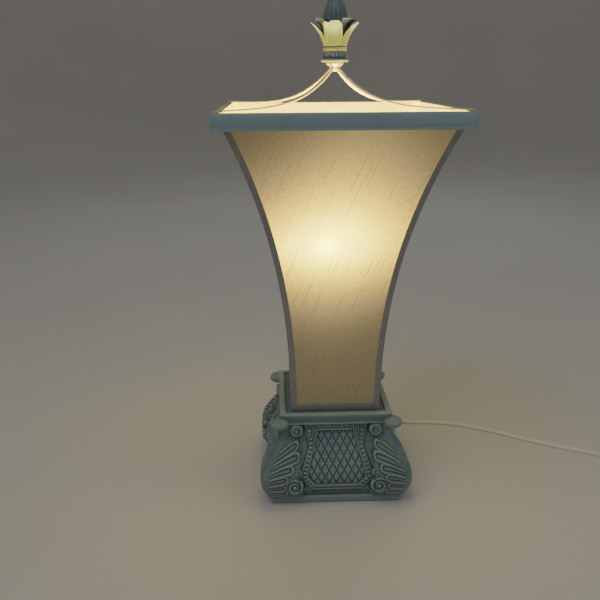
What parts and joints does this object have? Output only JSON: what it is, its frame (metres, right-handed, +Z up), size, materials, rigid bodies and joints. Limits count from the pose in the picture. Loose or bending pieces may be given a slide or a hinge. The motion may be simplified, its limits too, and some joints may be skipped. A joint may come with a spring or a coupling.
{
  "type": "table lamp",
  "caption": "Table lamp with a square trumpet-shaped cloth shade on a scrolled cast base, crown arms and an acanthus finial above, and a coiled flat lead.",
  "frame": {"origin": "middle of the base where it rests on the table", "axes": "+Z up, -Y towards the front face, +X towards the side where the lead runs"},
  "size_m": [0.6645, 0.2812, 0.5781],
  "materials": {
    "cast_resin": "cast filled resin, dusty teal paint, dark antiquing in the recesses",
    "felt": "pressed felt",
    "cover_board": "thin hardboard",
    "lead_jacket": "ivory flexible vinyl, slight sheen",
    "brass_hardware": "turned brass, slightly tarnished",
    "socket_brass": "brass-plated pressed shell, satin",
    "zinc_steel": "zinc plated",
    "insulating_card": "pressed insulating card",
    "phenolic": "moulded phenolic",
    "frame_wire": "white coated steel wire",
    "shade_cloth": "slubbed cream shantung, lit from inside",
    "lining_cloth": "plain cream lining, lit from inside",
    "ribbon": "grosgrain ribbon, grey blue",
    "rim_paint": "satin dusty blue-grey paint",
    "crown_paint": "cream-gold paint, worn at the edges",
    "frosted_glass": "soft white frosted glass, lit",
    "bulb_metal": "threaded aluminium, solder tip",
    "switch_plastic": "ivory moulded plastic",
    "rocker_plastic": "ivory moulded plastic, a shade darker",
    "plug_metal": "nickel-plated brass"
  },
  "bodies": {
    "base": {"base_casting": "cast_resin", "felt_pad": "felt", "bottom_cover_plate": "cover_board", "cord_strain_relief": "lead_jacket", "cord_lead": "lead_jacket", "cord_coil": "lead_jacket", "inner_leads": "lead_jacket", "threaded_pipe": "brass_hardware", "seat_collar": "brass_hardware", "riser_tube": "brass_hardware", "socket_centre_contact": "brass_hardware", "terminal_screws": "brass_hardware", "socket_screw_shell": "brass_hardware", "crown_stud": "brass_hardware", "switch_contacts": "brass_hardware", "socket_cap": "socket_brass", "socket_shell": "socket_brass", "pipe_washer": "zinc_steel", "pipe_nut": "zinc_steel", "socket_set_screw": "zinc_steel", "socket_insulator": "insulating_card", "socket_body": "phenolic", "shade_top_ring": "frame_wire", "shade_bottom_ring": "frame_wire", "shade_spider": "frame_wire", "shade_rib_front_left": "frame_wire", "shade_rib_front_right": "frame_wire", "shade_rib_back_right": "frame_wire", "shade_rib_back_left": "frame_wire", "shade_panel_front": "shade_cloth", "shade_panel_right": "shade_cloth", "shade_panel_back": "shade_cloth", "shade_panel_left": "shade_cloth", "shade_lining_front": "lining_cloth", "shade_lining_right": "lining_cloth", "shade_lining_back": "lining_cloth", "shade_lining_left": "lining_cloth", "bottom_trim": "ribbon", "corner_trim_front_left": "ribbon", "corner_trim_front_right": "ribbon", "corner_trim_back_right": "ribbon", "corner_trim_back_left": "ribbon", "rim_band": "rim_paint", "crown_hub": "crown_paint", "crown_arm_front_left": "crown_paint", "crown_arm_front_right": "crown_paint", "crown_arm_back_right": "crown_paint", "crown_arm_back_left": "crown_paint", "switch_case_lower": "switch_plastic", "switch_case_upper": "switch_plastic", "mains_plug": "switch_plastic", "plug_blades": "plug_metal"},
    "bulb": {"bulb_glass": "frosted_glass", "bulb_screw_base": "bulb_metal", "bulb_contact_tip": "bulb_metal"},
    "finial": {"finial_casting": "cast_resin", "finial_insert": "brass_hardware"},
    "switch_rocker": {"switch_rocker": "rocker_plastic"}
  },
  "joints": [
    {"name": "bulb_turn", "type": "hinge", "parent": "base", "child": "bulb", "pos_m": [0, 0, 0.24], "axis": [0, 0, 1], "continuous": true},
    {"name": "finial_turn", "type": "hinge", "parent": "base", "child": "finial", "pos_m": [0, 0, 0.51], "axis": [0, 0, 1], "continuous": true},
    {"name": "switch_rocker_tilt", "type": "hinge", "parent": "base", "child": "switch_rocker", "pos_m": [0.404, -0.011, 0.0146], "axis": [-0.4618, -0.887, 0], "range_deg": [0, 20]}
  ]
}
